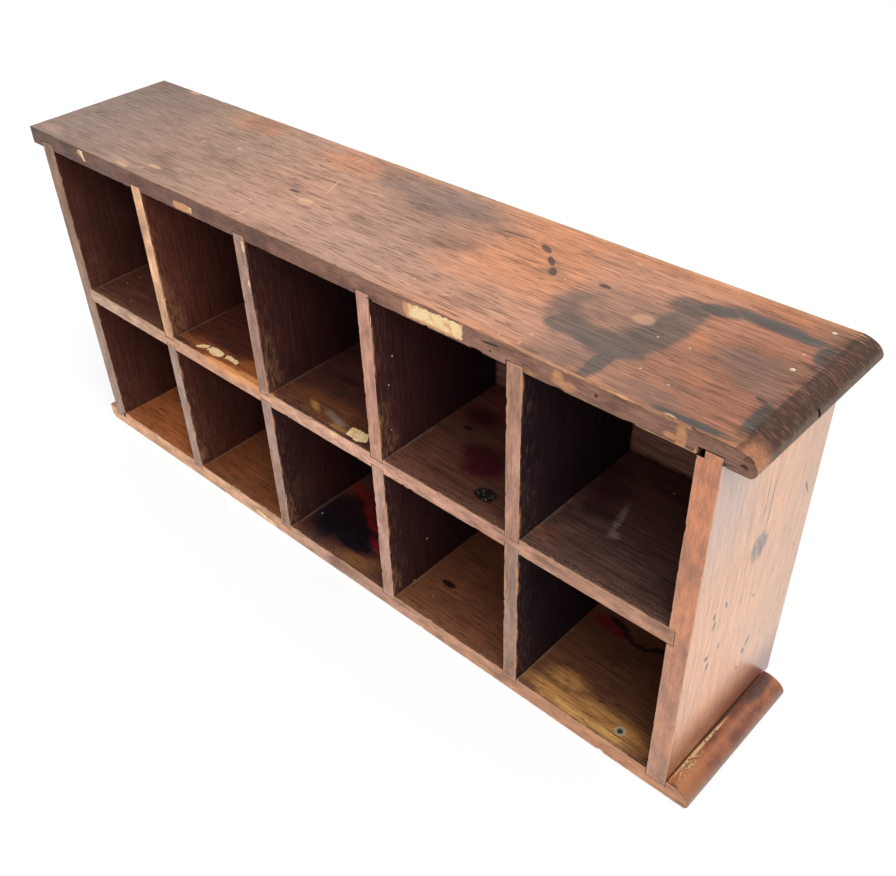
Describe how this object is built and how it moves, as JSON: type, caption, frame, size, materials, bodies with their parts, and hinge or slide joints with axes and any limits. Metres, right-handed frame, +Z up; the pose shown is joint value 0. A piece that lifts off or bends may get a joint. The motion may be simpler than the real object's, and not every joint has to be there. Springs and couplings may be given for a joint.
{
  "type": "pigeonhole mail sorter",
  "caption": "Open-fronted oak mail sorter: rows of pigeonholes between a long top, a shelf and a base, all housed together, with a rounded nosing at the right-hand end.",
  "frame": {"origin": "middle of the footprint on the floor, under the base", "axes": "+X along the case towards the nosed end, +Y from the open front to the back, +Z up"},
  "size_m": [0.6056, 0.122, 0.267],
  "materials": {
    "oak_case": "old varnish, worn and stained",
    "oak_inner": "dark, dull, dusty",
    "oak_back": "dark, dull",
    "nail_iron": "dull, oxidised",
    "screw_steel": "dulled"
  },
  "bodies": {
    "root": {"top_board": "oak_case", "base_board": "oak_case", "side_left": "oak_case", "side_right": "oak_case", "shelf": "oak_inner", "divider_upper_1": "oak_inner", "divider_lower_1": "oak_inner", "divider_upper_2": "oak_inner", "divider_lower_2": "oak_inner", "divider_upper_3": "oak_inner", "divider_lower_3": "oak_inner", "divider_upper_4": "oak_inner", "divider_lower_4": "oak_inner", "back_panel": "oak_back", "nail_top_1": "nail_iron", "nail_top_2": "nail_iron", "nail_top_3": "nail_iron", "nail_top_4": "nail_iron", "nail_top_5": "nail_iron", "nail_base_1": "nail_iron", "nail_base_2": "nail_iron", "nail_base_3": "nail_iron", "nail_base_4": "nail_iron", "nail_back_1": "nail_iron", "nail_back_2": "nail_iron", "nail_back_3": "nail_iron", "nail_back_4": "nail_iron", "nail_back_5": "nail_iron", "nail_back_6": "nail_iron", "nail_back_7": "nail_iron", "nail_back_8": "nail_iron", "nail_back_9": "nail_iron", "screw_base": "screw_steel"}
  },
  "joints": []
}
